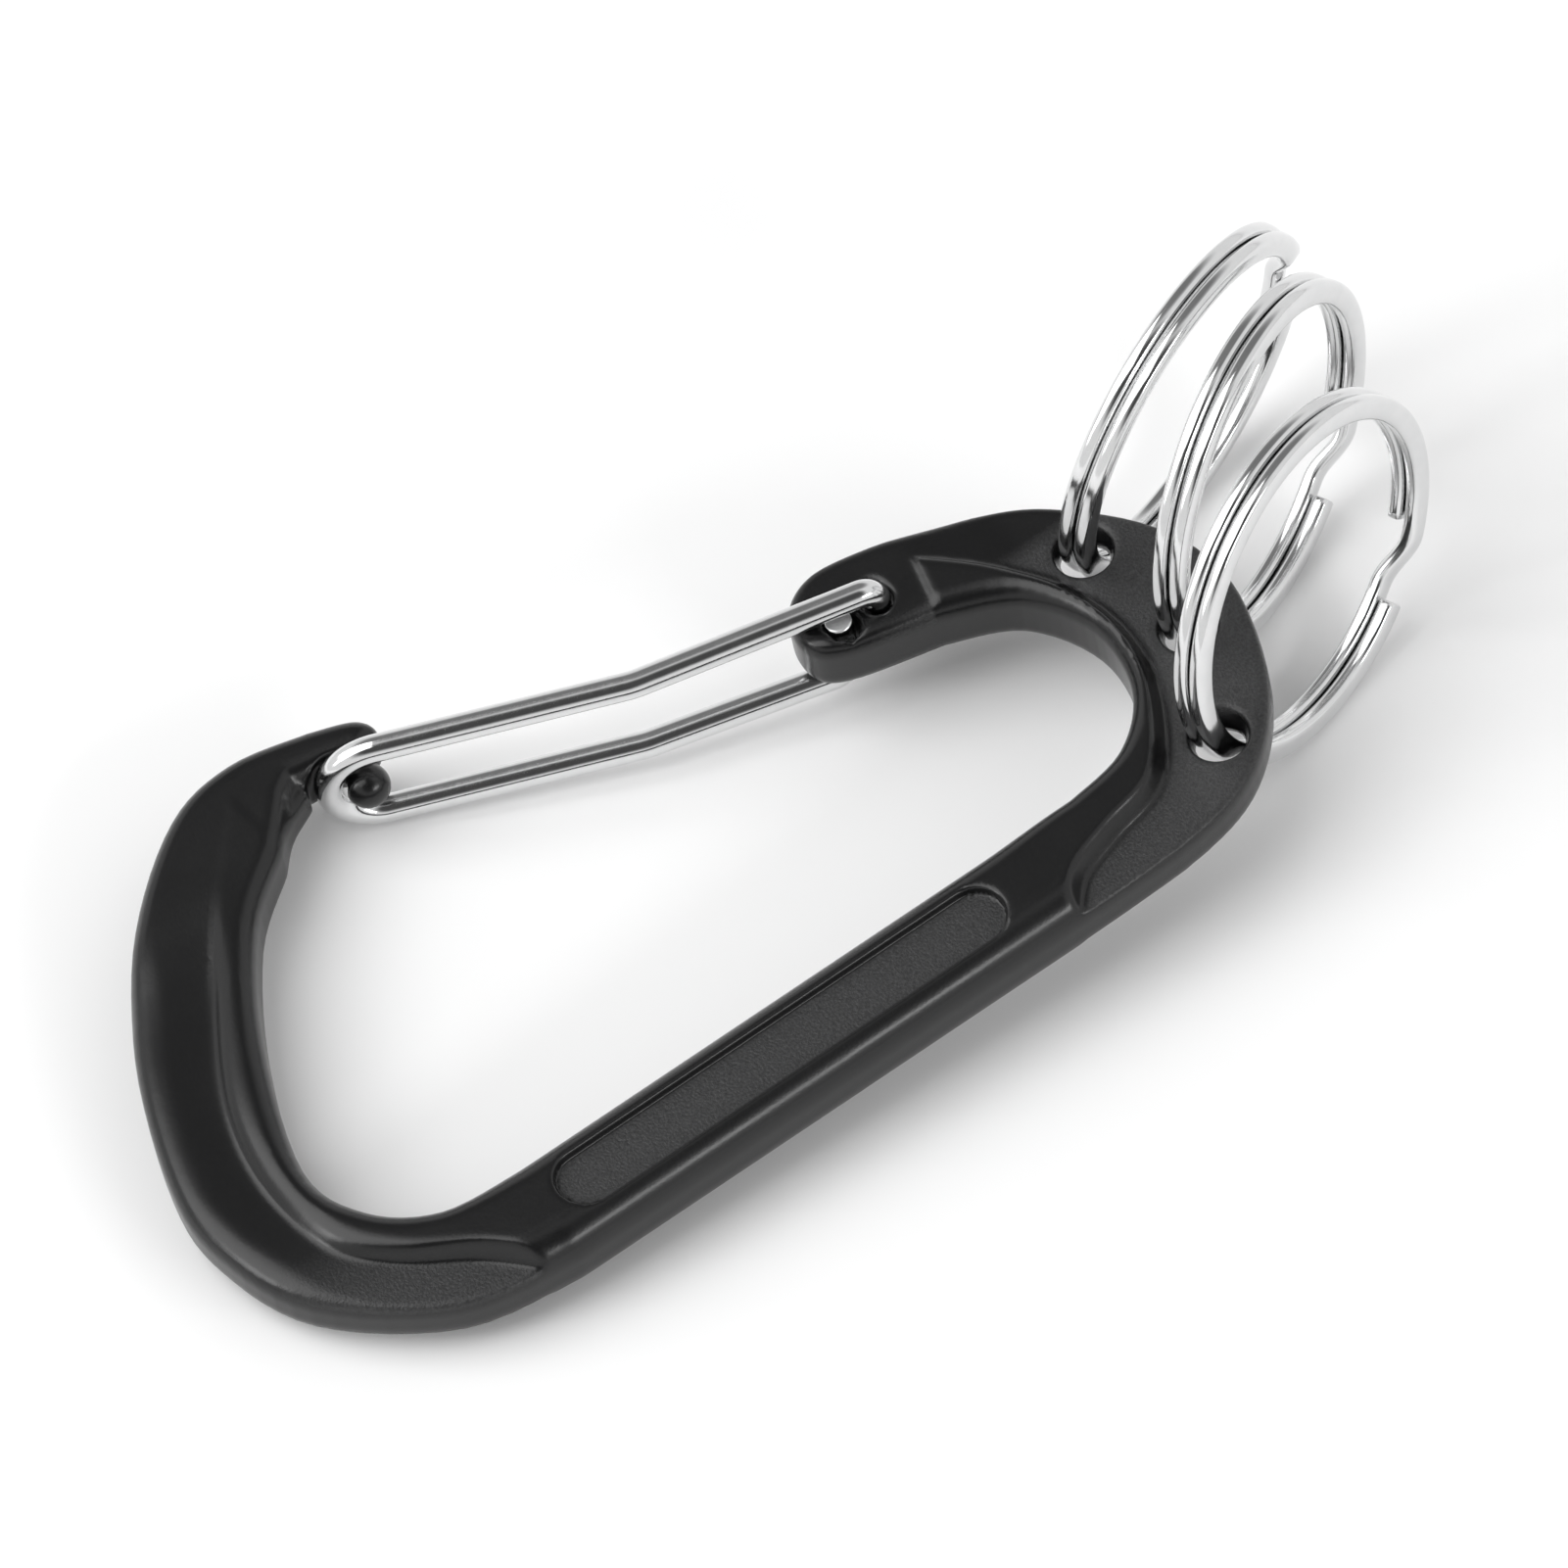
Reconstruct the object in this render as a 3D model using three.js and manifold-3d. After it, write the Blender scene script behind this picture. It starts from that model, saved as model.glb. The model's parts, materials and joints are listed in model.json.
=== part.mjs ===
// Carabiner keyring: a forged aluminium D-shaped body, a bent-wire gate and three split rings.
// Millimetres, +Z up. Every piece is first laid out in the flat frame of the body: X along the
// spine towards the ring end, Y towards the gate, Z square to the face, z = 0 at mid thickness.
// The whole part is then tipped into its resting pose, on its hook end and its three rings.
import * as THREE from 'three';
import { mergeVertices } from 'three/addons/utils/BufferGeometryUtils.js';
import Module from 'manifold-3d';

const wasm = await Module();
wasm.setup();

// ---- body ----
const HALF_THICK = 2.9; // half thickness of the spine and of the rib round the window
const HALF_HOOK = 2.3; // half thickness of the hook web
const HALF_RING_END = 1.45; // half thickness of the flange with the ring holes
const HALF_LOBE = 2.2; // half thickness of the hinge lobe, between the gate legs
const SPINE_HALF = 3.65; // half width of the spine
const POCKET = { from: -20.2, to: 13.4, half: 2.0, depth: 0.7 };
const RING_HOLES = [
  [32.7, 18.6],
  [34.5, 9.8],
  [31.3, 2.0],
];
const RING_HOLE_D = 3.2; // at mid thickness
const RING_HOLE_MOUTH = 4.05; // at either face
const RING_HOLE_LAND = 0.35; // half length of the straight part of the bore
// ---- gate ----
const WIRE_D = 1.8;
const LEG_Z = 3.4; // height of a gate leg off the middle plane
const PIVOT = [19.0, 23.62]; // the gate turns on this line, square to the body's face
const LEG_END = [1.4, -0.12]; // near leg's end from the pivot; the far leg's end is opposite
const KINK = [4.6, 27.4];
const BEND = [-10.6, 34.0]; // centre of the U-bend at the nose
const GATE_SWING = 26; // degrees that the gate opens
const GATE_SLOT = 2.1; // width of the slot round each pin
const BEND_CLEARANCE = 0.3;
// ---- split rings ----
const RING_OD = 24.9;
const COIL_WIDE = 1.6; // radial size of the wire
const COIL_HIGH = 1.08; // size of the wire along the ring's axis
const COIL_PITCH = 1.2;
const JOG_DEG = 18; // arc over which the wire steps from one coil to the other
const END_DEG = 5; // arc between the step and each cut end
// yaw in the body's plane, lift of the ring's centre off it, lean about the lift line, and
// where round the ring the step sits
const RINGS = [
  { yaw: 16.9, lift: 23.1, lean: 9.4, jog: -8 },
  { yaw: 27.4, lift: 22.8, lean: -0.3, jog: -65 },
  { yaw: 22.6, lift: 23.5, lean: -4.7, jog: -60 },
];
// ---- resting pose ----
const BODY_TILT = 3.7; // degrees that the rings lift the ring end

const DEG = Math.PI / 180;

// ---- outlines, in the flat frame ----
const HOOD_TIP = [[-10.6, 35.2], [-9.2, 36.2], [-9.9, 37.7], [-12.7, 38.9]];
const HOOK_OUTER = [
  [-12.7, 38.9], [-18.0, 40.1], [-23.2, 38.9], [-29.5, 33.7], [-34.7, 26.3],
  [-38.4, 17.0], [-38.9, 11.0], [-36.6, 4.1], [-29.4, -2.1], [-21.4, -SPINE_HALF],
];
const RING_OUTER = [
  [16.7, -SPINE_HALF], [26.0, -3.3], [31.8, -1.4], [36.2, 3.4], [38.7, 11.0],
  [37.4, 17.3], [33.2, 22.7], [28.9, 25.4], [23.4, 27.1],
];
const LOBE = [
  [23.4, 27.1], [18.5, 28.0], [15.6, 26.6], [14.9, 23.8], [16.6, 21.9], [22.8, 20.2],
];
const RING_INNER = [
  [22.8, 20.2], [27.3, 17.8], [29.7, 13.0], [28.9, 7.9], [25.6, 4.6], [21.1, SPINE_HALF],
];
const HOOK_INNER = [
  [-21.4, SPINE_HALF], [-26.4, 4.1], [-30.1, 7.1], [-31.4, 12.2], [-28.0, 21.5],
  [-23.4, 28.9], [-19.0, 32.6],
];
const NOSE_WALL = [[-16.2, 35.7], [-15.4, 36.2]];
const HOOK_CREASE = [
  [-19.4, 37.4], [-25.2, 30.9], [-30.4, 23.2], [-33.1, 17.6], [-34.1, 12.0], [-33.4, 6.4],
  [-30.6, 2.8], [-26.4, -0.3], [-23.4, -SPINE_HALF],
];
const RING_CREASE = [
  [16.8, -SPINE_HALF], [18.7, -1.6], [21.9, -0.4], [26.4, 1.1], [30.0, 6.2], [31.3, 11.4], [30.4, 16.6],
  [27.6, 21.0], [23.9, 24.6],
];

function vectors(points) {
  return points.map(([x, y]) => new THREE.Vector2(x, y));
}

// points on a smooth curve through a few key points
function smooth(points, perSpan) {
  return new THREE.SplineCurve(vectors(points)).getPoints((points.length - 1) * perSpan);
}

// one closed outline from runs that meet end to end
function join(...runs) {
  const out = [];
  for (const p of runs.flat()) {
    const last = out[out.length - 1];
    if (!last || last.distanceTo(p) > 1e-3) out.push(p);
  }
  if (out[0].distanceTo(out[out.length - 1]) < 1e-3) out.pop();
  return new THREE.Shape(out);
}

function solid(geometry) {
  const g = geometry.clone();
  g.deleteAttribute('uv');
  g.deleteAttribute('normal');
  const m = mergeVertices(g, 1e-4);
  return new wasm.Manifold(new wasm.Mesh({
    numProp: 3,
    vertProperties: new Float32Array(m.attributes.position.array),
    triVerts: new Uint32Array(m.index.array),
  }));
}

function geometryOf(manifold) {
  const mesh = manifold.getMesh();
  const g = new THREE.BufferGeometry();
  g.setAttribute('position', new THREE.BufferAttribute(new Float32Array(mesh.vertProperties), 3));
  g.setIndex(new THREE.BufferAttribute(new Uint32Array(mesh.triVerts), 1));
  return g;
}

// a plate centred on the middle plane, its edges rounded by bevel
function plate(shape, half, bevel) {
  return solid(new THREE.ExtrudeGeometry(shape, {
    depth: 2 * (half - bevel),
    bevelEnabled: true,
    bevelThickness: bevel,
    bevelSize: bevel,
    bevelOffset: -bevel,
    bevelSegments: 3,
    curveSegments: 1,
  }).translate(0, 0, bevel - half));
}

// bore for a split ring, flared towards both faces so that the ring can lean
function ringBore([x, y]) {
  const r = RING_HOLE_D / 2;
  const flare = (RING_HOLE_MOUTH / 2 - r) / (HALF_RING_END - RING_HOLE_LAND);
  const far = 3.5;
  const mouth = r + flare * (far - RING_HOLE_LAND);
  const g = new THREE.LatheGeometry(vectors([
    [0, -far], [mouth, -far], [r, -RING_HOLE_LAND], [r, RING_HOLE_LAND], [mouth, far], [0, far],
  ]), 24);
  return solid(g.rotateX(Math.PI / 2).translate(x, y, 0));
}

function hookPlate() {
  const shape = join(
    smooth(HOOD_TIP, 2), smooth(HOOK_OUTER, 3), vectors([[-15, -SPINE_HALF], [-15, SPINE_HALF]]),
    smooth(HOOK_INNER, 3), vectors(NOSE_WALL),
  );
  return plate(shape, HALF_HOOK, 0.7);
}

function ringPlate() {
  const shape = join(
    vectors([[10, SPINE_HALF], [10, -SPINE_HALF]]), smooth(RING_OUTER, 3), smooth(RING_INNER, 3),
  );
  return plate(shape, HALF_RING_END, 0.6);
}

function hingeLobe() {
  const shape = join(vectors([[27.3, 17.8], [29.5, 21.5]]), smooth(LOBE, 3));
  return plate(shape, HALF_LOBE, 0.8);
}

// the spine and the rib round the window
function thickRib() {
  const shape = join(
    vectors([[-19.0, 32.6]]), smooth(HOOK_CREASE, 3), smooth(RING_CREASE, 3),
    smooth(RING_INNER, 3), smooth(HOOK_INNER, 3),
  );
  return plate(shape, HALF_THICK, 0.75);
}

// upright prism of depth deep whose outline is a line from a to b widened by r all round
function slot(a, b, r, deep) {
  const across = Math.atan2(b.y - a.y, b.x - a.x) - Math.PI / 2;
  const shape = new THREE.Shape();
  shape.absarc(b.x, b.y, r, across, across + Math.PI, false);
  shape.absarc(a.x, a.y, r, across + Math.PI, across + 2 * Math.PI, false);
  return new THREE.ExtrudeGeometry(shape, {
    depth: deep, bevelEnabled: false, curveSegments: 10,
  });
}

// recess with a flat floor in one face of the spine
function pocket(side) {
  const r = POCKET.half;
  const [a, b] = vectors([[POCKET.from + r, 0], [POCKET.to - r, 0]]);
  const z = HALF_THICK - POCKET.depth;
  return solid(slot(a, b, r, 4).translate(0, 0, side > 0 ? z : -z - 4));
}

class WirePath extends THREE.Curve {
  constructor(points) {
    super();
    this.points = points;
  }

  getPoint(t) {
    const at = t * (this.points.length - 1);
    const i = Math.min(Math.floor(at), this.points.length - 2);
    return this.points[i].clone().lerp(this.points[i + 1], at - i);
  }

  getPointAt(t) {
    return this.getPoint(t);
  }
}

// corner points of a bend of the given radius at b, between the lines to a and to c
function bend(a, b, c, radius, steps) {
  const u = a.clone().sub(b).normalize();
  const v = c.clone().sub(b).normalize();
  const half = u.angleTo(v) / 2;
  const back = radius / Math.tan(half);
  const centre = u.clone().add(v).normalize().multiplyScalar(radius / Math.sin(half)).add(b);
  const from = u.multiplyScalar(back).add(b).sub(centre);
  const to = v.multiplyScalar(back).add(b).sub(centre);
  const turn = from.angleTo(to);
  const out = [];
  for (let i = 0; i <= steps; i += 1) {
    const w = (turn * i) / steps;
    const p = from.clone().multiplyScalar(Math.sin(turn - w) / Math.sin(turn));
    out.push(p.addScaledVector(to, Math.sin(w) / Math.sin(turn)).add(centre));
  }
  return out;
}

// centreline of the gate wire: pin, near leg, kink, U-bend, far leg, pin
function gateLine() {
  const side = (s) => {
    const end = [PIVOT[0] + s * LEG_END[0], PIVOT[1] + s * LEG_END[1]];
    const pin = new THREE.Vector3(end[0], end[1], -s * (HALF_LOBE - 0.05));
    const corner = new THREE.Vector3(end[0], end[1], s * LEG_Z);
    const kink = new THREE.Vector3(KINK[0], KINK[1], s * LEG_Z);
    const nose = new THREE.Vector3(BEND[0], BEND[1], s * LEG_Z);
    return [pin, ...bend(pin, corner, kink, 1.1, 4), ...bend(corner, kink, nose, 9, 2)];
  };
  const along = new THREE.Vector3(BEND[0] - KINK[0], BEND[1] - KINK[1], 0).normalize();
  const turn = [];
  for (let i = 0; i <= 12; i += 1) {
    const w = Math.PI / 2 - (Math.PI * i) / 12;
    const p = along.clone().multiplyScalar(LEG_Z * Math.cos(w));
    turn.push(p.add(new THREE.Vector3(BEND[0], BEND[1], LEG_Z * Math.sin(w))));
  }
  return [...side(1), ...turn, ...side(-1).reverse()];
}

function roundWire(points, diameter, sides) {
  const shape = new THREE.Shape();
  shape.absarc(0, 0, diameter / 2, 0, 2 * Math.PI, false);
  return new THREE.ExtrudeGeometry(shape, {
    steps: points.length - 1,
    extrudePath: new WirePath(points),
    curveSegments: sides,
    bevelEnabled: false,
  });
}

// the bulb and web under the hood that the gate's U-bend drops over
function noseHook() {
  const bulb = solid(new THREE.SphereGeometry(1.45, 20, 12).translate(-11.6, 34.1, 0));
  const neck = solid(new THREE.CylinderGeometry(1.1, 1.1, 3.4, 16).translate(-11.8, 35.9, 0));
  const web = plate(new THREE.Shape(vectors([
    [-18.6, 33.6], [-15.1, 35.3], [-14.4, 37.6], [-18.6, 37.6],
  ])), 1.3, 0.4);
  return bulb.add(neck).add(web);
}

// what the gate wire sweeps beside the nose, with clearance
function bendGroove() {
  const line = gateLine().filter((p) => p.x < -3);
  return solid(roundWire(line, WIRE_D + 2 * BEND_CLEARANCE, 12));
}

// one slot for each pin, as long as the pin's travel
function gateSlots() {
  const pivot = new THREE.Vector2(...PIVOT);
  return [1, -1].map((s) => {
    const shut = new THREE.Vector2(s * LEG_END[0], s * LEG_END[1]).add(pivot);
    const open = shut.clone().rotateAround(pivot, GATE_SWING * DEG);
    return solid(slot(shut, open, GATE_SLOT / 2, 12).translate(0, 0, -6));
  });
}

function bodyGeometry() {
  let body = thickRib().add(hookPlate()).add(ringPlate()).add(hingeLobe()).add(noseHook());
  const cuts = [pocket(1), pocket(-1), bendGroove(), ...gateSlots()];
  cuts.push(...RING_HOLES.map(ringBore));
  for (const cut of cuts) body = body.subtract(cut);
  return geometryOf(body);
}

// the wire of a split ring: two coils joined by a step, both ends cut beside the step
class CoilPath extends THREE.Curve {
  getPoint(t) {
    const turn = 720 - JOG_DEG - 2 * END_DEG;
    const at = END_DEG + t * turn;
    const jog = Math.min(Math.max((at - 360 + JOG_DEG) / JOG_DEG, 0), 1);
    const ease = jog * jog * (3 - 2 * jog);
    const r = (RING_OD - COIL_WIDE) / 2;
    const w = at * DEG;
    return new THREE.Vector3(r * Math.cos(w), r * Math.sin(w), COIL_PITCH * (ease - 0.5));
  }

  getPointAt(t) {
    return this.getPoint(t);
  }
}

function coilGeometry() {
  const w = COIL_WIDE / 2;
  const h = COIL_HIGH / 2;
  const c = 0.32;
  const section = new THREE.Shape(vectors([
    [h, w - c], [h - c, w], [c - h, w], [-h, w - c],
    [-h, c - w], [c - h, -w], [h - c, -w], [h, c - w],
  ]));
  return new THREE.ExtrudeGeometry(section, {
    steps: 72, extrudePath: new CoilPath(), curveSegments: 1, bevelEnabled: false,
  });
}

// the ring's own frame: its axis square to the plane that holds the lift line and the hole's axis
function ringPlacement(ring, hole) {
  const yaw = new THREE.Matrix4().makeRotationZ(ring.yaw * DEG);
  const lift = new THREE.Matrix4().makeRotationY(-ring.lift * DEG);
  const lean = new THREE.Matrix4().makeRotationX(ring.lean * DEG);
  const upright = new THREE.Matrix4().makeRotationX(Math.PI / 2);
  const m = new THREE.Matrix4().makeTranslation(hole[0], hole[1], 0);
  m.multiply(yaw).multiply(lift).multiply(lean);
  m.multiply(new THREE.Matrix4().makeTranslation((RING_OD - COIL_WIDE) / 2, 0, 0));
  return m.multiply(upright).multiply(new THREE.Matrix4().makeRotationZ(ring.jog * DEG));
}

function blackCoat() {
  return new THREE.MeshStandardMaterial({ color: 0x111113, roughness: 0.42, metalness: 0.1 });
}

function polishedSteel() {
  return new THREE.MeshStandardMaterial({ color: 0xc9cbcd, roughness: 0.22, metalness: 1.0 });
}

function named(name, geometry, material) {
  const mesh = new THREE.Mesh(geometry, material);
  mesh.name = name;
  return mesh;
}

function build() {
  const pieces = [
    named('body', bodyGeometry(), blackCoat()),
    named('wire_gate', roundWire(gateLine(), WIRE_D, 10), polishedSteel()),
  ];
  RINGS.forEach((ring, i) => {
    const g = coilGeometry().applyMatrix4(ringPlacement(ring, RING_HOLES[i]));
    pieces.push(named(`split_ring_${i + 1}`, g, polishedSteel()));
  });
  const tilt = new THREE.Matrix4().makeRotationY(-BODY_TILT * DEG);
  const box = new THREE.Box3();
  for (const piece of pieces) {
    piece.geometry.applyMatrix4(tilt);
    piece.geometry.computeBoundingBox();
    box.union(piece.geometry.boundingBox);
  }
  const centre = box.getCenter(new THREE.Vector3());
  const group = new THREE.Group();
  group.name = 'carabiner_keyring';
  for (const piece of pieces) {
    piece.geometry.translate(-centre.x, -centre.y, -box.min.z);
    group.add(piece);
  }
  return group;
}

const part = build();
export default part;
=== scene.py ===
"""Carabiner keyring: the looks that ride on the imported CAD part.

Lengths are laid out in millimetres in the body's flat frame (X along the spine towards the
rings, Y towards the gate, Z square to the face, z = 0 at mid thickness) and then moved into the
part's frame, in metres.
"""

import json
import math

import bpy
import numpy as np
from mathutils import Matrix, Vector


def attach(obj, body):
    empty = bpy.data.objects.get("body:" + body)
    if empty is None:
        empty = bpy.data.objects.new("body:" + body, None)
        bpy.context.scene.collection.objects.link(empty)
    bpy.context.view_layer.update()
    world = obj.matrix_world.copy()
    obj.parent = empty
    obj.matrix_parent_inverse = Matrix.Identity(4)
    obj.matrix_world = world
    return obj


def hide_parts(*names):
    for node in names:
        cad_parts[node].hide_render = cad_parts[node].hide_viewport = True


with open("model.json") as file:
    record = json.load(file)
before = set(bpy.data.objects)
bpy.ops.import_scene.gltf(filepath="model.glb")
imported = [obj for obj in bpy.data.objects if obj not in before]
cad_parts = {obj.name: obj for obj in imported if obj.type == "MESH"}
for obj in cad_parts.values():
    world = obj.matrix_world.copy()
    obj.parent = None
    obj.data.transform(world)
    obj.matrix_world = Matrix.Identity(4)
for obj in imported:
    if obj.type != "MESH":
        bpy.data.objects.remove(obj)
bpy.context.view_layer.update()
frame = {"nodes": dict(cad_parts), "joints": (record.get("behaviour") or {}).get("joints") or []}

# ---- dimensions, mm ----
HALF_THICK = 2.9
HALF_HOOK = 2.3
HALF_RING_END = 1.45
HALF_LOBE = 2.2
NOSE_WEB_HALF = 1.3
# edge radii: round the window, along the spine, round the outside, at the nose and the lobe
EDGE_WINDOW, EDGE_SPINE, EDGE_OUTER, EDGE_ENDS = 1.5, 1.9, 2.4, 1.35
WALL_SLOPE = 1.8
NOSE_BALL, NOSE_BALL_R = (-11.6, 34.1), 1.45
NOSE_NECK, NOSE_NECK_R, NOSE_NECK_REACH = (-11.8, 35.9), 1.1, 1.7
SPINE_HALF = 3.65
POCKET_FROM, POCKET_TO, POCKET_HALF, POCKET_DEPTH = -20.2, 13.4, 2.0, 0.7
RING_HOLES = [(32.7, 18.6), (34.5, 9.8), (31.3, 2.0)]
RING_HOLE_D, RING_HOLE_MOUTH, RING_HOLE_LAND = 3.2, 4.05, 0.35
WIRE_D = 1.8
LEG_Z = 3.4
PIVOT = (19.0, 23.62)
LEG_END = (1.4, -0.12)
KINK = (4.6, 27.4)
BEND = (-10.6, 34.0)
GATE_SWING = 26
GATE_SLOT = 2.1
PIN_BEND_R, KINK_BEND_R = 1.1, 7
BEND_CLEARANCE = 0.3
WIRE_SIDES = 32
WIRE_STEP = 0.5
RING_OD = 24.9
COIL_WIDE = 1.6
COIL_HIGH = 1.08
COIL_PITCH = 1.2
COIL_INSET = 0.015
COIL_SQUARENESS = 3.0
JOG_DEG = 18
END_DEG = 5
# yaw, lift, lean and the place of the step round the ring, in degrees
RINGS = [(16.9, 23.1, 9.4, -8), (27.4, 22.8, -0.3, -65), (22.6, 23.5, -4.7, -60)]
BODY_TILT = 3.7
VOXEL = 0.215
PLAIN_GRAIN = 0.12
STUDIO_LIGHT = 0.85
# dark cards of the studio: direction, where each is darkest and where it ends in degrees, level
DARK_CARDS = [((-0.28, -0.51, 0.81), 18, 42, 0.08), ((0.24, 0.51, 0.82), 16, 40, 0.25)]
# soft lights aimed at the part: name, place in m, size in m, power in W
LIGHTS = [
    ("key", (-0.65, 0.35, 1.0), (1.2, 1.3), 11),
    ("front", (0.25, -0.8, 0.42), (0.5, 0.12), 1.8),
    ("left", (-0.8, 0.2, 0.4), (0.2, 0.4), 1.0),
]
# the view's right, up and back directions in the flat frame, then its width and middle in mm
VIEW_AXES = [[0.8112, -0.5701, -0.1302], [0.54, 0.645, 0.5407], [-0.2243, -0.5089, 0.8311]]
VIEW_WIDTH = 97.622
VIEW_CENTRE = (-2.9055, 15.822)
LENS, SENSOR = 800.0, 36.0

HOOD_TIP = [(-10.6, 35.2), (-9.2, 36.2), (-9.9, 37.7), (-12.7, 38.9)]
HOOK_OUTER = [
    (-12.7, 38.9), (-18.0, 40.1), (-23.2, 38.9), (-29.5, 33.7), (-34.7, 26.3),
    (-38.4, 17.0), (-38.9, 11.0), (-36.6, 4.1), (-29.4, -2.1), (-21.4, -SPINE_HALF),
]
RING_OUTER = [
    (16.7, -SPINE_HALF), (26.0, -3.3), (31.8, -1.4), (36.2, 3.4), (38.7, 11.0),
    (37.4, 17.3), (33.2, 22.7), (28.9, 25.4), (23.4, 27.1),
]
LOBE = [(23.4, 27.1), (18.5, 28.0), (15.6, 26.6), (14.9, 23.8), (16.6, 21.9), (22.8, 20.2)]
RING_INNER = [
    (22.8, 20.2), (27.3, 17.8), (29.7, 13.0), (28.9, 7.9), (25.6, 4.6), (21.1, SPINE_HALF),
]
HOOK_INNER = [
    (-21.4, SPINE_HALF), (-26.4, 4.1), (-30.1, 7.1), (-31.4, 12.2), (-28.0, 21.5),
    (-23.4, 28.9), (-19.0, 32.6),
]
NOSE_WALL = [(-16.2, 35.7), (-15.4, 36.2)]
HOOK_CREASE = [
    (-19.4, 37.4), (-25.2, 30.9), (-30.4, 23.2), (-33.1, 17.6), (-34.1, 12.0), (-33.4, 6.4),
    (-30.6, 2.8), (-26.4, -0.3), (-23.4, -SPINE_HALF),
]
RING_CREASE = [
    (16.8, -SPINE_HALF), (18.7, -1.6), (21.9, -0.4), (26.4, 1.1), (30.0, 6.2), (31.3, 11.4),
    (30.4, 16.6), (27.6, 21.0), (23.9, 24.6),
]
NOSE_WEB = [(-18.6, 33.6), (-15.1, 35.3), (-14.4, 37.6), (-18.6, 37.6)]


# ---- from the flat frame to the part's frame ----
def part_matrix():
    """Flat frame in mm to the part's frame in metres: tipped onto the rings, then placed by the
    gate's hinge."""
    tilt = Matrix.Rotation(math.radians(-BODY_TILT), 4, "Y")
    hinge = next(j for j in frame["joints"] if j["name"] == "gate_hinge")
    at = tilt @ Vector((PIVOT[0], PIVOT[1], 0.0)) * 0.001
    shift = Vector(hinge["pos_m"]) - at
    return Matrix.Translation(shift) @ tilt @ Matrix.Scale(0.001, 4)


TO_PART = part_matrix()


def add_mesh(name, verts, faces):
    """A smooth mesh object from flat-frame vertices (n, 3) and quads (m, 4)."""
    m = np.array(TO_PART)
    v = np.asarray(verts, dtype=np.float64) @ m[:3, :3].T + m[:3, 3]
    f = np.asarray(faces, dtype=np.int32)
    mesh = bpy.data.meshes.new(name)
    mesh.vertices.add(len(v))
    mesh.vertices.foreach_set("co", v.ravel())
    mesh.loops.add(f.size)
    mesh.loops.foreach_set("vertex_index", f.ravel())
    mesh.polygons.add(len(f))
    mesh.polygons.foreach_set("loop_start", np.arange(len(f)) * f.shape[1])
    mesh.polygons.foreach_set("use_smooth", np.ones(len(f), dtype=bool))
    mesh.update(calc_edges=True)
    mesh.validate()
    obj = bpy.data.objects.new(name, mesh)
    bpy.context.scene.collection.objects.link(obj)
    return obj


# ---- outlines ----
def curve(points, per=6):
    """Uniform Catmull-Rom curve through the points, ends held."""
    p = np.array(points, dtype=float)
    out = []
    for i in range(len(p) - 1):
        a, b, c, d = p[max(i - 1, 0)], p[i], p[i + 1], p[min(i + 2, len(p) - 1)]
        for t in np.arange(per) / per:
            u, w = (c - a) / 2, (d - b) / 2
            cubic, square = 2 * b - 2 * c + u + w, 3 * c - 3 * b - 2 * u - w
            out.append(cubic * t ** 3 + square * t ** 2 + u * t + b)
    out.append(p[-1])
    return np.array(out)


def outline(*runs):
    """One closed outline from runs of points, without repeated points."""
    pts = np.concatenate([np.array(r, dtype=float) for r in runs])
    keep = np.hypot(*(pts - np.roll(pts, 1, axis=0)).T) > 1e-3
    return pts[keep]


def signed_distance(poly, x, y):
    """Distance from the grid points to a closed outline, negative inside."""
    px, py = x.ravel(), y.ravel()
    best = np.full(px.shape, 1e9)
    inside = np.zeros(px.shape, dtype=bool)
    for (ax, ay), (bx, by) in zip(poly, np.roll(poly, -1, axis=0)):
        dx, dy = bx - ax, by - ay
        t = np.clip(((px - ax) * dx + (py - ay) * dy) / (dx * dx + dy * dy), 0, 1)
        best = np.minimum(best, (px - ax - t * dx) ** 2 + (py - ay - t * dy) ** 2)
        if ay != by:
            crosses = ((ay > py) != (by > py)) & (px < (bx - ax) * (py - ay) / (by - ay) + ax)
            inside ^= crosses
    d = np.sqrt(best)
    return np.where(inside, -d, d).reshape(x.shape).astype(np.float32)


# ---- solids as fields, negative inside ----
def slab(d2, z, half, r):
    """A plate of half thickness half from a 2-D distance, its edges rounded by r."""
    half, r = (v[:, :, None] if isinstance(v, np.ndarray) else v for v in (half, r))
    a = d2[:, :, None] + r
    b = np.abs(z) - half + r
    out = np.hypot(np.maximum(a, 0), np.maximum(b, 0))
    return out + np.minimum(np.maximum(a, b), 0) - r


def blend_union(a, b, k):
    """a with b added, the join softened by k."""
    h = np.maximum(k - np.abs(a - b), 0) / k
    return np.minimum(a, b) - h * h * k / 4


def blend_cut(a, b, k):
    """a with b taken away, the new edge softened by k."""
    h = np.maximum(k - np.abs(a + b), 0) / k
    return np.maximum(a, -b) + h * h * k / 4


def smoothstep(lo, hi, v):
    t = np.clip((v - lo) / (hi - lo), 0, 1)
    return t * t * (3 - 2 * t)


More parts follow.
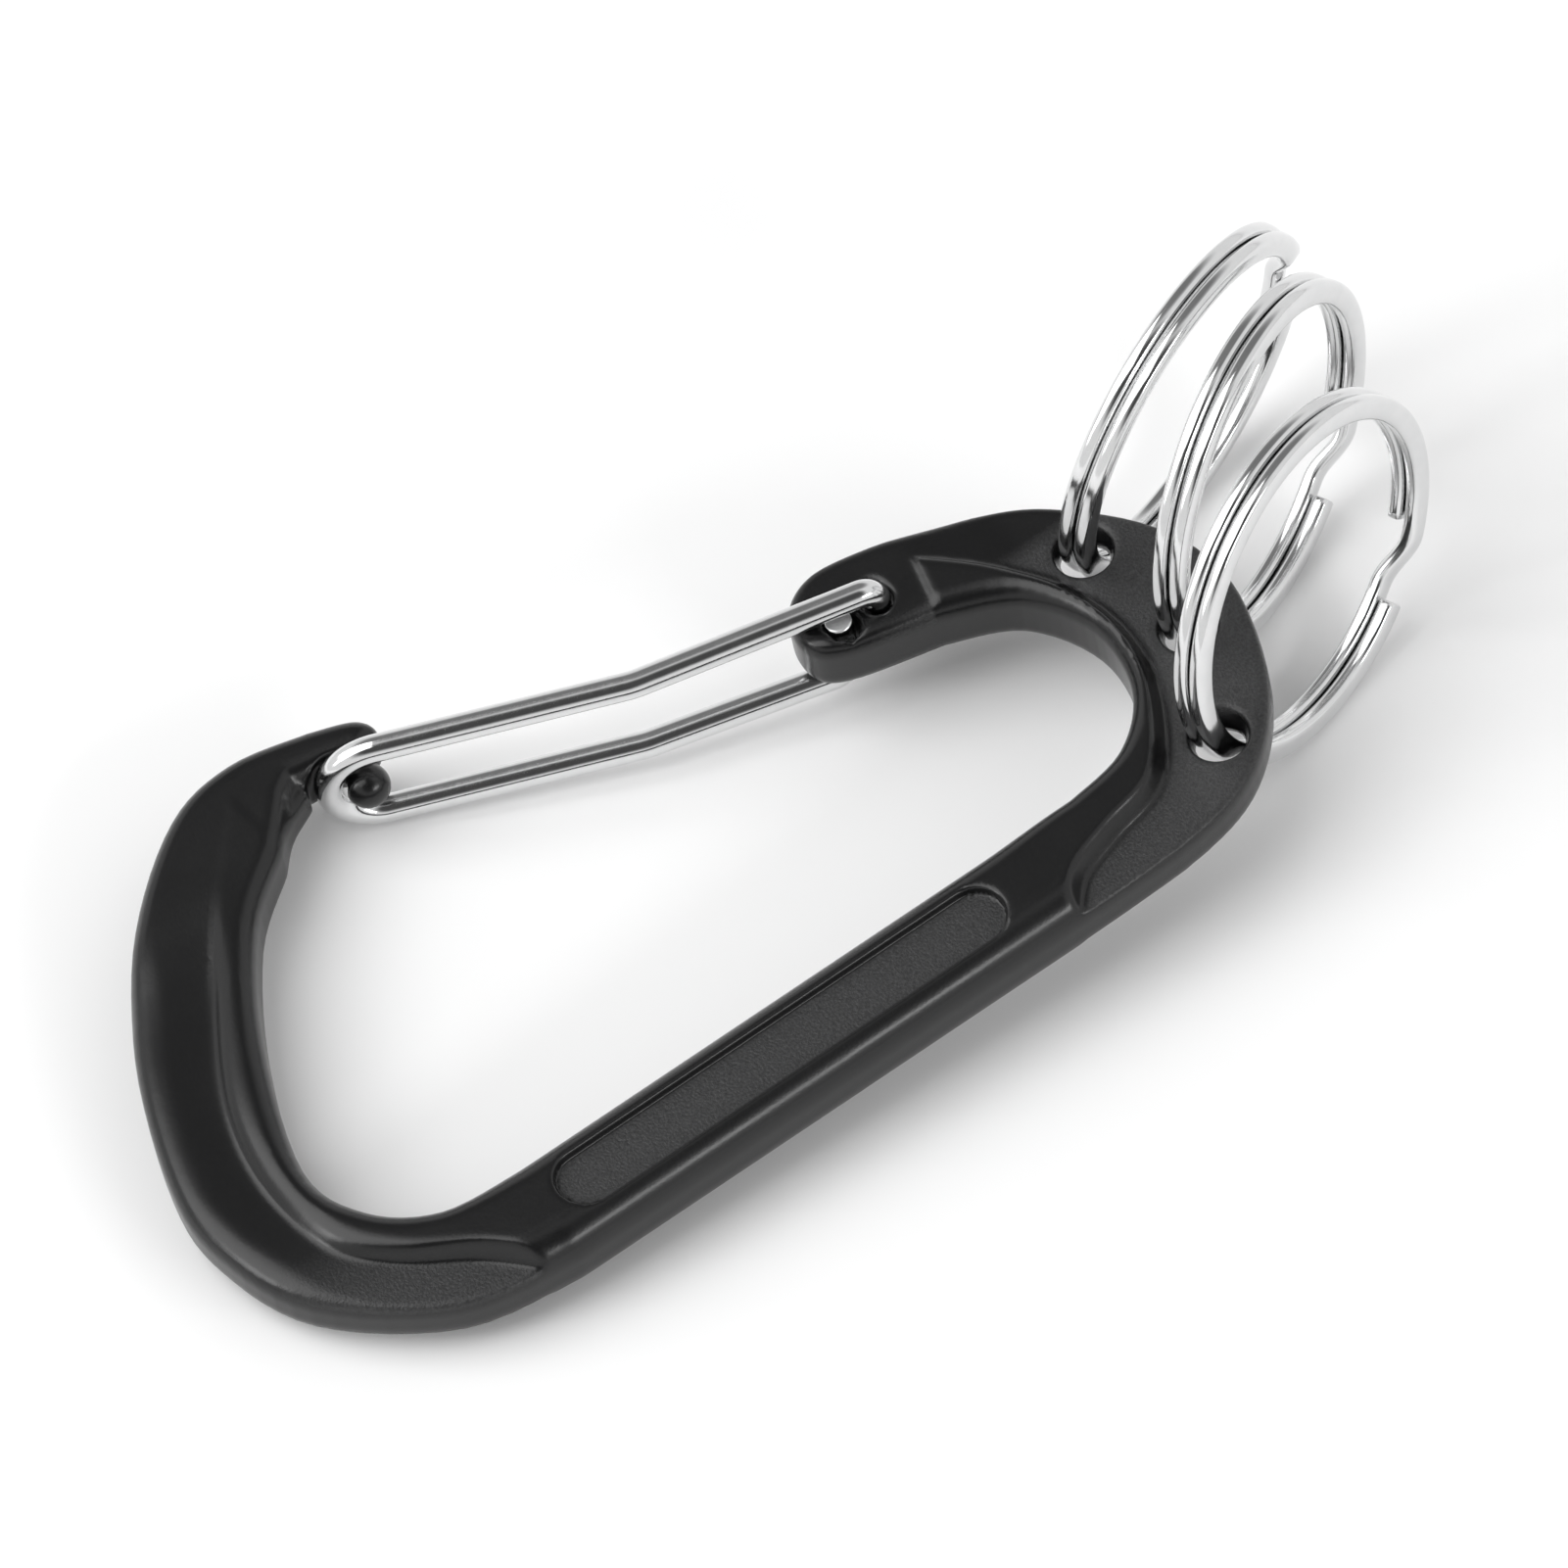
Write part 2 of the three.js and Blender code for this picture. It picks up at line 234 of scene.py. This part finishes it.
def surface(field, origin, step):
    """Quad mesh of the field's zero level: one vertex per cell that it crosses."""
    inside = field < 0
    n = np.array(field.shape)
    count = np.zeros(n - 1, dtype=np.int8)
    corners = [(i, j, k) for i in (0, 1) for j in (0, 1) for k in (0, 1)]
    for i, j, k in corners:
        count += inside[i:n[0] - 1 + i, j:n[1] - 1 + j, k:n[2] - 1 + k]
    active = (count > 0) & (count < 8)
    cells = np.argwhere(active)
    index = np.full(active.shape, -1, dtype=np.int64)
    index[active] = np.arange(len(cells))
    total = np.zeros((len(cells), 3))
    hits = np.zeros(len(cells))
    for a in corners:
        for axis in range(3):
            if a[axis]:
                continue
            b = list(a)
            b[axis] = 1
            fa = field[tuple((cells + a).T)].astype(float)
            fb = field[tuple((cells + b).T)].astype(float)
            cross = (fa < 0) != (fb < 0)
            t = np.where(cross, fa / np.where(cross, fa - fb, 1), 0)
            p = np.array(a, dtype=float) + t[:, None] * (np.array(b) - a)
            total += np.where(cross[:, None], p, 0)
            hits += cross
    verts = cells + total / hits[:, None]
    quads = []
    for axis in range(3):
        u, v = [(1, 2), (2, 0), (0, 1)][axis]
        lo = [slice(None)] * 3
        hi = [slice(None)] * 3
        lo[axis], hi[axis] = slice(0, -1), slice(1, None)
        for other in (u, v):
            lo[other] = hi[other] = slice(1, -1)
        first, second = inside[tuple(lo)], inside[tuple(hi)]
        at = np.argwhere(first != second)
        for other in (u, v):
            at[:, other] += 1
        out = second[tuple((at - np.eye(3, dtype=int)[u] - np.eye(3, dtype=int)[v]).T)]
        du, dv = np.eye(3, dtype=int)[u], np.eye(3, dtype=int)[v]
        ring = np.stack([index[tuple((at - s * du - t * dv).T)]
                         for s, t in ((1, 1), (0, 1), (0, 0), (1, 0))], axis=1)
        ring[out] = ring[out][:, ::-1]
        quads.append(ring)
    quads = np.concatenate(quads)
    verts = settle(field, verts)
    return verts * step + origin, quads


def sample(field, p):
    """Trilinear value of the field at the points p, in cell units."""
    i = np.clip(np.floor(p).astype(int), 0, np.array(field.shape) - 2)
    t = p - i
    out = 0
    for a in (0, 1):
        for b in (0, 1):
            for c in (0, 1):
                w = (t[:, 0] if a else 1 - t[:, 0]) * (t[:, 1] if b else 1 - t[:, 1])
                w = w * (t[:, 2] if c else 1 - t[:, 2])
                out = out + w * field[i[:, 0] + a, i[:, 1] + b, i[:, 2] + c]
    return out


def settle(field, verts, rounds=2):
    """Moves the vertices onto the zero level."""
    eye = np.eye(3) * 0.5
    for _ in range(rounds):
        f = sample(field, verts)
        g = np.stack([sample(field, verts + eye[a]) - sample(field, verts - eye[a])
                      for a in range(3)], axis=1)
        step = -f / np.maximum((g ** 2).sum(1), 0.05 ** 2)
        verts = verts + np.clip(step, -0.5, 0.5)[:, None] * g
    return verts


def capsule_distance(x, y, z, line, radius):
    """Distance to a round wire along a line of points."""
    best = np.full(np.broadcast(x, y, z).shape, 1e9, dtype=np.float32)
    for a, b in zip(line[:-1], line[1:]):
        d = b - a
        t = ((x - a[0]) * d[0] + (y - a[1]) * d[1] + (z - a[2]) * d[2]) / (d @ d)
        t = np.clip(t, 0, 1)
        q = (x - a[0] - t * d[0]) ** 2 + (y - a[1] - t * d[1]) ** 2 + (z - a[2] - t * d[2]) ** 2
        best = np.minimum(best, q)
    return np.sqrt(best) - radius


# ---- gate wire ----
def corner(a, b, c, radius, steps):
    """Arc of the given radius that rounds the corner at b."""
    u = (a - b) / np.linalg.norm(a - b)
    v = (c - b) / np.linalg.norm(c - b)
    half = math.acos(np.clip(u @ v, -1, 1)) / 2
    back = radius / math.tan(half)
    centre = b + (u + v) / np.linalg.norm(u + v) * radius / math.sin(half)
    p, q = b + u * back - centre, b + v * back - centre
    turn = math.acos(np.clip(p @ q / radius ** 2, -1, 1))
    out = []
    for i in range(steps + 1):
        w = turn * i / steps
        out.append(centre + (p * math.sin(turn - w) + q * math.sin(w)) / math.sin(turn))
    return out


def gate_line():
    """Centreline of the gate wire: pin, near leg, kink, U-bend, far leg, pin."""
    def side(s):
        end = np.array([PIVOT[0] + s * LEG_END[0], PIVOT[1] + s * LEG_END[1]])
        pin = np.array([*end, -s * (HALF_LOBE - 0.05)])
        top = np.array([*end, s * LEG_Z])
        kink = np.array([*KINK, s * LEG_Z])
        nose = np.array([*BEND, s * LEG_Z])
        return [pin, *corner(pin, top, kink, PIN_BEND_R, 14),
                *corner(top, kink, nose, KINK_BEND_R, 12)]
    along = np.array([BEND[0] - KINK[0], BEND[1] - KINK[1], 0.0])
    along /= np.linalg.norm(along)
    turn = []
    for i in range(41):
        w = math.pi / 2 - math.pi * i / 40
        turn.append(np.array([*BEND, LEG_Z * math.sin(w)]) + along * LEG_Z * math.cos(w))
    return np.array(side(1) + turn + side(-1)[::-1])


def resample(line, step):
    """Points along a line, no further apart than step."""
    out = [line[0]]
    for a, b in zip(line[:-1], line[1:]):
        n = max(int(math.ceil(np.linalg.norm(b - a) / step)), 1)
        out.extend(a + (b - a) * i / n for i in range(1, n + 1))
    return np.array(out)


def sweep(line, section, normals=None):
    """Sweeps a closed section (k, 2) along a line, with flat ends. Returns vertices and quads."""
    tangents = np.gradient(line, axis=0)
    tangents /= np.linalg.norm(tangents, axis=1)[:, None]
    if normals is None:
        n = np.cross(tangents[0], [0.3, 0.9, 0.1])
        normals = []
        for t in tangents:
            n = n - t * (n @ t)
            n = n / np.linalg.norm(n)
            normals.append(n)
        normals = np.array(normals)
    normals = normals - tangents * (normals * tangents).sum(1)[:, None]
    normals /= np.linalg.norm(normals, axis=1)[:, None]
    sides = np.cross(tangents, normals)
    k = len(section)
    rows = (line[:, None, :] + section[None, :, 0, None] * normals[:, None, :]
            + section[None, :, 1, None] * sides[:, None, :])
    # each end gets a rim a little inside the last section, then a centre strip of quads
    caps = []
    for end, sign in ((0, -1), (-1, 1)):
        small = 0.86 * section
        at = line[end] + sign * tangents[end] * 0.09
        caps.append(at + small[:, :1] * normals[end] + small[:, 1:] * sides[end])
    verts = np.concatenate([caps[0][None], rows, caps[1][None]]).reshape(-1, 3)
    count = len(line) + 2
    i = np.arange(k)
    quads = []
    for r in range(count - 1):
        a, b = r * k + i, r * k + (i + 1) % k
        quads.append(np.stack([a, b, b + k, a + k], axis=1))
    last = (count - 1) * k
    for j in range(1, k // 2):
        quads.append(np.array([[j, j - 1, (k - j) % k, k - 1 - j]]))
        quads.append(np.array([[j - 1, j, k - 1 - j, (k - j) % k]]) + last)
    return verts, np.concatenate(quads)


def rounded_section(wide, high, power):
    """Closed section: an ellipse at power 2, squarer above."""
    w = 2 * math.pi * np.arange(WIRE_SIDES) / WIRE_SIDES
    c, s = np.cos(w), np.sin(w)
    return np.stack([wide / 2 * np.sign(c) * np.abs(c) ** (2 / power),
                     high / 2 * np.sign(s) * np.abs(s) ** (2 / power)], axis=1)


def add_wire(name, verts, quads):
    """A swept wire whose two cut ends are flat and marked for a duller finish."""
    obj = add_mesh(name, verts, quads)
    cut = np.zeros(len(verts), dtype=np.float32)
    cut[:WIRE_SIDES] = cut[-WIRE_SIDES:] = 1
    obj.data.attributes.new("cut_end", "FLOAT", "POINT").data.foreach_set("value", cut)
    flat = 2 * (WIRE_SIDES // 2 - 1)
    for face in obj.data.polygons[-flat:]:
        face.use_smooth = False
    return obj


def build_gate():
    """The gate, one round wire from pin to pin."""
    verts, quads = sweep(resample(gate_line(), WIRE_STEP), rounded_section(WIRE_D, WIRE_D, 2))
    return add_wire("gate_wire", verts, quads)


# ---- split rings ----
def coil_line(count=360):
    """Centreline of a split ring, two turns with the step from one coil to the next, and the
    outward direction at each point. COIL_INSET keeps the smooth wire inside the CAD's box."""
    turn = 720 - JOG_DEG - 2 * END_DEG
    at = END_DEG + np.linspace(0, 1, count) * turn
    ease = smoothstep(0, 1, (at - 360 + JOG_DEG) / JOG_DEG)
    r = (RING_OD - COIL_WIDE) / 2 - COIL_INSET
    w = np.radians(at)
    line = np.stack([r * np.cos(w), r * np.sin(w), COIL_PITCH * (ease - 0.5)], axis=1)
    return line, np.stack([np.cos(w), np.sin(w), 0 * w], axis=1)


def ring_matrix(ring, hole):
    """Places a ring from its own frame: yaw, lift and lean are about the middle of its hole."""
    yaw, lift, lean, jog = ring
    m = Matrix.Translation((hole[0], hole[1], 0))
    m = m @ Matrix.Rotation(math.radians(yaw), 4, "Z")
    m = m @ Matrix.Rotation(math.radians(-lift), 4, "Y")
    m = m @ Matrix.Rotation(math.radians(lean), 4, "X")
    m = m @ Matrix.Translation(((RING_OD - COIL_WIDE) / 2, 0, 0))
    m = m @ Matrix.Rotation(math.pi / 2, 4, "X")
    return np.array(m @ Matrix.Rotation(math.radians(jog), 4, "Z"))


def build_ring(i):
    """One split ring, its flattened wire squarer than an ellipse."""
    line, out = coil_line()
    section = rounded_section(COIL_WIDE, COIL_HIGH, COIL_SQUARENESS)
    verts, quads = sweep(line, section, out)
    m = ring_matrix(RINGS[i], RING_HOLES[i])
    return add_wire(f"ring_coil_{i + 1}", verts @ m[:3, :3].T + m[:3, 3], quads)


# ---- forged body ----
def plan_distances(x, y):
    """Signed plan distances: the whole body, the window, and the line round spine and rib."""
    plan = outline(curve(HOOD_TIP), curve(HOOK_OUTER), curve(RING_OUTER), curve(LOBE),
                   curve(RING_INNER), curve(HOOK_INNER), NOSE_WALL)
    window = outline(curve(RING_INNER), curve(HOOK_INNER))
    crease = outline([(-15, 25), (-19.0, 32.6)], curve(HOOK_CREASE), curve(RING_CREASE),
                     [(22.8, 20.2), (21.0, 14.0)])
    return [signed_distance(line, x, y) for line in (plan, window, crease)]


def stadium(x, y, a, b, r):
    """Plan distance to a line from a to b widened by r."""
    dx, dy = b[0] - a[0], b[1] - a[1]
    t = np.clip(((x - a[0]) * dx + (y - a[1]) * dy) / (dx * dx + dy * dy), 0, 1)
    return np.hypot(x - a[0] - t * dx, y - a[1] - t * dy) - r


def turned(v, degrees):
    w = math.radians(degrees)
    return v[0] * math.cos(w) - v[1] * math.sin(w), v[0] * math.sin(w) + v[1] * math.cos(w)


def recess_floor(x, y, past):
    """Height of the lower faces of the hook end, the ring end and the hinge lobe."""
    # the hook's face drops towards the spine and dips beside the rib
    side = HALF_HOOK - 0.15 - 0.65 * (1 - smoothstep(-2, 10, y))
    side = side - 0.3 * (1 - smoothstep(0.2, 4.5, past)) * smoothstep(4, 12, y)
    nose = smoothstep(25, 34, y)
    hook = side * (1 - nose) + (HALF_HOOK + 0.05) * nose
    lobe = (1 - smoothstep(23.5, 30, x)) * smoothstep(14, 21, y)
    ring = HALF_RING_END + (HALF_LOBE - HALF_RING_END) * lobe
    return np.where(x < 0, hook, ring)


def body_field():
    """The body as a field on a grid, with the grid's axes and two plan distances."""
    xs = np.arange(-40.2, 40.4, VOXEL, dtype=np.float32)
    ys = np.arange(-4.8, 41.4, VOXEL, dtype=np.float32)
    zs = np.arange(-3.8, 3.81, VOXEL, dtype=np.float32)
    x2, y2 = np.meshgrid(xs, ys, indexing="ij")
    z = zs[None, None, :]
    x3, y3 = x2[:, :, None], y2[:, :, None]
    height = np.abs(z)
    d_plan, d_window, d_crease = plan_distances(x2, y2)

    # one plate of the full outline, its rib thinner towards the nose and towards the hinge
    half = HALF_THICK - (HALF_THICK - HALF_HOOK) * smoothstep(22, 34, y2) * (x2 < 0)
    half = half - 0.4 * smoothstep(12, 22, y2) * (x2 > 0)
    outer = smoothstep(0, 1.2, np.abs(d_window) - np.abs(d_plan))
    spine = smoothstep(-26, -20, x2) * (1 - smoothstep(14, 20, x2)) * (y2 < 12)
    inner = EDGE_WINDOW + (EDGE_SPINE - EDGE_WINDOW) * spine
    edge = inner + outer * (EDGE_OUTER - inner)
    ends = smoothstep(28, 33, y2) * (x2 < 0)
    ends = ends + smoothstep(17, 21, y2) * (1 - smoothstep(22, 28, x2)) * (x2 > 0)
    edge = edge * (1 - ends) + EDGE_ENDS * ends
    f = slab(d_plan, z, half.astype(np.float32), edge.astype(np.float32))

    # lower faces of the two ends, each with a steep wall up to the rib
    floor = recess_floor(x2, y2, d_crease)[:, :, None]
    wall = d_crease[:, :, None] + (height - floor) / WALL_SLOPE
    wall = wall * WALL_SLOPE / math.hypot(1, WALL_SLOPE)
    recess = -blend_union(height - floor, wall, 0.25)
    soft = 0.25 + 0.9 * (smoothstep(0, 9, y3) * (1 - smoothstep(26, 33, y3)) * (x3 < -20))
    f = blend_cut(f, recess, soft)

    # nose: ball, neck and web
    from_ball = np.sqrt((x3 - NOSE_BALL[0]) ** 2 + (y3 - NOSE_BALL[1]) ** 2 + z ** 2)
    from_neck = np.sqrt((x3 - NOSE_NECK[0]) ** 2 + z ** 2)
    neck = np.maximum(from_neck - NOSE_NECK_R, np.abs(y3 - NOSE_NECK[1]) - NOSE_NECK_REACH)
    f = blend_union(f, blend_union(from_ball - NOSE_BALL_R, neck, 0.5), 0.4)
    web = slab(signed_distance(outline(NOSE_WEB), x2, y2), z, NOSE_WEB_HALF, 0.6)
    f = blend_union(f, web, 0.4)

    # cuts
    r = POCKET_HALF
    d_pocket = stadium(x2, y2, (POCKET_FROM + r, 0), (POCKET_TO - r, 0), r)
    pocket = np.maximum(d_pocket[:, :, None], HALF_THICK - POCKET_DEPTH - height)
    f = blend_cut(f, pocket, 0.25)
    near = (xs > -18) & (xs < -2)
    line = gate_line()
    line = line[(line[:, 0] < 0)]
    groove = np.full(f.shape, 9.0, dtype=np.float32)
    groove[near] = capsule_distance(x3[near], y3[near], z, line, WIRE_D / 2 + BEND_CLEARANCE)
    f = blend_cut(f, groove, 0.3)
    for s in (1, -1):
        shut = (s * LEG_END[0], s * LEG_END[1])
        ends = [(PIVOT[0] + v[0], PIVOT[1] + v[1]) for v in (shut, turned(shut, GATE_SWING))]
        hole = stadium(x2, y2, *ends, GATE_SLOT / 2)[:, :, None]
        f = blend_cut(f, np.broadcast_to(hole, f.shape), 0.2)
    for cx, cy in RING_HOLES:
        bore = np.hypot(x2 - cx, y2 - cy)[:, :, None] - RING_HOLE_D / 2
        flare = (RING_HOLE_MOUTH - RING_HOLE_D) / 2 / (HALF_RING_END - RING_HOLE_LAND)
        mouth = bore - flare * np.maximum(height - RING_HOLE_LAND, 0)
        f = blend_cut(f, mouth / math.hypot(1, flare), 0.25)
    return f.astype(np.float32), (xs, ys, zs), d_crease, d_pocket


def build_body():
    """The forged body, its recess floors marked for a coarser, paler grain."""
    field, (xs, ys, zs), d_crease, d_pocket = body_field()
    verts, quads = surface(field, np.array([xs[0], ys[0], zs[0]]), VOXEL)
    obj = add_mesh("forged_body", verts, quads)
    i = np.clip(((verts[:, 0] - xs[0]) / VOXEL).astype(int), 0, len(xs) - 1)
    j = np.clip(((verts[:, 1] - ys[0]) / VOXEL).astype(int), 0, len(ys) - 1)
    x, y, z = verts.T
    in_pocket = (d_pocket[i, j] < -0.15) & (np.abs(z) < HALF_THICK - POCKET_DEPTH + 0.15)
    out = d_crease[i, j]
    flange = smoothstep(0.1, 0.5, out) * (1 - smoothstep(20, 22, y)) * (x > 15)
    flange = flange * smoothstep(HALF_RING_END - 0.3, HALF_RING_END - 0.05, np.abs(z))
    hook = smoothstep(0.1, 0.6, out) * (x < -22) * (1 - smoothstep(0, 9, y))
    hook = hook * smoothstep(0.9, 1.35, np.abs(z))
    grain = np.maximum(np.maximum(in_pocket, flange), 0.9 * hook)
    layer = obj.data.attributes.new("grain", "FLOAT", "POINT")
    layer.data.foreach_set("value", np.maximum(grain, PLAIN_GRAIN).astype(np.float32))
    return obj


# ---- materials ----
def new_material(name):
    mat = bpy.data.materials.new(name)
    mat.use_nodes = True
    nodes, links = mat.node_tree.nodes, mat.node_tree.links
    return mat, nodes, links, nodes["Principled BSDF"]


def black_coating():
    """Satin black coating with a fine grain, coarser and paler on the floors of the recesses."""
    mat, nodes, links, bsdf = new_material("black_coating")
    coords = nodes.new("ShaderNodeTexCoord")
    tone = nodes.new("ShaderNodeTexNoise")
    tone.inputs["Scale"].default_value = 260
    tone.inputs["Detail"].default_value = 3
    links.new(coords.outputs["Object"], tone.inputs["Vector"])
    grain = nodes.new("ShaderNodeAttribute")
    grain.attribute_name = "grain"
    pits = nodes.new("ShaderNodeTexNoise")
    pits.inputs["Scale"].default_value = 5500
    pits.inputs["Detail"].default_value = 2
    links.new(coords.outputs["Object"], pits.inputs["Vector"])
    pale = nodes.new("ShaderNodeMath")
    pale.operation = "MULTIPLY"
    links.new(grain.outputs["Fac"], pale.inputs[0])
    links.new(pits.outputs["Fac"], pale.inputs[1])
    ramp = nodes.new("ShaderNodeValToRGB")
    ramp.color_ramp.elements[0].color = (0.003, 0.003, 0.0032, 1)
    ramp.color_ramp.elements[1].color = (0.055, 0.055, 0.056, 1)
    links.new(pale.outputs["Value"], ramp.inputs["Fac"])
    links.new(ramp.outputs["Color"], bsdf.inputs["Base Color"])
    bump = nodes.new("ShaderNodeBump")
    bump.inputs["Distance"].default_value = 0.00005
    links.new(pits.outputs["Fac"], bump.inputs["Height"])
    links.new(grain.outputs["Fac"], bump.inputs["Strength"])
    links.new(bump.outputs["Normal"], bsdf.inputs["Normal"])
    rough = nodes.new("ShaderNodeMapRange")
    rough.inputs["To Min"].default_value = 0.19
    rough.inputs["To Max"].default_value = 0.27
    links.new(tone.outputs["Fac"], rough.inputs["Value"])
    dull = nodes.new("ShaderNodeMath")
    dull.operation = "MULTIPLY_ADD"
    dull.inputs[1].default_value = 0.2
    links.new(grain.outputs["Fac"], dull.inputs[0])
    links.new(rough.outputs["Result"], dull.inputs[2])
    links.new(dull.outputs["Value"], bsdf.inputs["Roughness"])
    bsdf.inputs["Specular IOR Level"].default_value = 0.45
    return mat


def polished_steel(name, grain_scale):
    """Bright drawn wire: faint dull patches and a very fine surface wave."""
    mat, nodes, links, bsdf = new_material(name)
    coords = nodes.new("ShaderNodeTexCoord")
    noise = nodes.new("ShaderNodeTexNoise")
    noise.inputs["Scale"].default_value = grain_scale
    noise.inputs["Detail"].default_value = 4
    links.new(coords.outputs["Object"], noise.inputs["Vector"])
    ramp = nodes.new("ShaderNodeValToRGB")
    ramp.color_ramp.elements[0].color = (0.70, 0.705, 0.71, 1)
    ramp.color_ramp.elements[1].color = (0.80, 0.80, 0.80, 1)
    links.new(noise.outputs["Fac"], ramp.inputs["Fac"])
    links.new(ramp.outputs["Color"], bsdf.inputs["Base Color"])
    rough = nodes.new("ShaderNodeMapRange")
    rough.inputs["To Min"].default_value = 0.07
    rough.inputs["To Max"].default_value = 0.17
    links.new(noise.outputs["Fac"], rough.inputs["Value"])
    cut = nodes.new("ShaderNodeAttribute")
    cut.attribute_name = "cut_end"
    dull = nodes.new("ShaderNodeMath")
    dull.operation = "MULTIPLY_ADD"
    dull.inputs[1].default_value = 0.4
    links.new(cut.outputs["Fac"], dull.inputs[0])
    links.new(rough.outputs["Result"], dull.inputs[2])
    links.new(dull.outputs["Value"], bsdf.inputs["Roughness"])
    bump = nodes.new("ShaderNodeBump")
    bump.inputs["Strength"].default_value = 0.06
    bump.inputs["Distance"].default_value = 0.00006
    links.new(noise.outputs["Fac"], bump.inputs["Height"])
    links.new(bump.outputs["Normal"], bsdf.inputs["Normal"])
    bsdf.inputs["Metallic"].default_value = 1.0
    return mat


# ---- stage ----
def add_floor():
    bpy.ops.mesh.primitive_plane_add(size=6, location=(0, 0, 0))
    floor = bpy.context.object
    floor.name = "floor"
    mat, nodes, links, bsdf = new_material("floor_pale")
    bsdf.inputs["Base Color"].default_value = (0.96, 0.96, 0.96, 1)
    bsdf.inputs["Roughness"].default_value = 0.9
    bsdf.inputs["Specular IOR Level"].default_value = 0.0
    floor.data.materials.append(mat)


def add_light(name, at, size, power):
    """A soft rectangular light aimed at the part."""
    data = bpy.data.lights.new(name, "AREA")
    data.shape = "RECTANGLE"
    data.size, data.size_y = size
    data.energy = power
    obj = bpy.data.objects.new(name, data)
    obj.location = at
    obj.rotation_euler = (-Vector(at)).to_track_quat("-Z", "Y").to_euler()
    bpy.context.scene.collection.objects.link(obj)


def add_world():
    """Pale studio surround with two soft dark cards: one behind the viewer, one across from it."""
    world = bpy.data.worlds.new("studio")
    bpy.context.scene.world = world
    world.use_nodes = True
    nodes, links = world.node_tree.nodes, world.node_tree.links
    back = nodes["Background"]
    coords = nodes.new("ShaderNodeTexCoord")
    light = None
    for towards, inner, outer, dark in DARK_CARDS:
        dot = nodes.new("ShaderNodeVectorMath")
        dot.operation = "DOT_PRODUCT"
        dot.inputs[1].default_value = Vector(towards).normalized()
        links.new(coords.outputs["Generated"], dot.inputs[0])
        card = nodes.new("ShaderNodeMapRange")
        card.interpolation_type = "SMOOTHSTEP"
        card.inputs["From Min"].default_value = math.cos(math.radians(outer))
        card.inputs["From Max"].default_value = math.cos(math.radians(inner))
        card.inputs["To Min"].default_value = 1.0
        card.inputs["To Max"].default_value = dark
        links.new(dot.outputs["Value"], card.inputs["Value"])
        dimmed = nodes.new("ShaderNodeMath")
        dimmed.operation = "MULTIPLY"
        dimmed.inputs[0].default_value = STUDIO_LIGHT
        if light:
            links.new(light, dimmed.inputs[0])
        links.new(card.outputs["Result"], dimmed.inputs[1])
        light = dimmed.outputs["Value"]
    links.new(light, back.inputs["Strength"])
    back.inputs["Color"].default_value = (1, 1, 1, 1)


def add_camera():
    """Looks at the part as the reference view does: from the spine's side, 56 degrees up."""
    u, _, v = np.linalg.svd(np.array(VIEW_AXES))
    right, up, back = u @ v
    target = right * VIEW_CENTRE[0] + up * VIEW_CENTRE[1]
    target = target - back * (target[2] / back[2])
    distance = VIEW_WIDTH * LENS / SENSOR
    at = TO_PART @ Vector(target + back * distance)
    rot = TO_PART.to_3x3().normalized() @ Matrix((right, up, back)).transposed()
    data = bpy.data.cameras.new("camera")
    data.lens, data.sensor_width = LENS, SENSOR
    data.clip_start, data.clip_end = 0.01, 20
    cam = bpy.data.objects.new("camera", data)
    cam.matrix_world = Matrix.Translation(at) @ rot.to_4x4()
    bpy.context.scene.collection.objects.link(cam)
    bpy.context.scene.camera = cam


def main():
    coat = black_coating()
    body = build_body()
    body.data.materials.append(coat)
    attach(body, "frame")
    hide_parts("body")
    gate = build_gate()
    gate.data.materials.append(polished_steel("gate_steel", 1500))
    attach(gate, "gate")
    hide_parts("wire_gate")
    steel = polished_steel("ring_steel", 900)
    for i in range(3):
        ring = build_ring(i)
        ring.data.materials.append(steel)
        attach(ring, f"ring_{i + 1}")
        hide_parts(f"split_ring_{i + 1}")
    for node in frame["nodes"].values():
        node.data.materials.clear()
        node.data.materials.append(coat if node.name == "body" else steel)
    add_floor()
    add_world()
    for light in LIGHTS:
        add_light(*light)
    add_camera()
    bpy.context.scene.view_settings.view_transform = "Standard"


main()
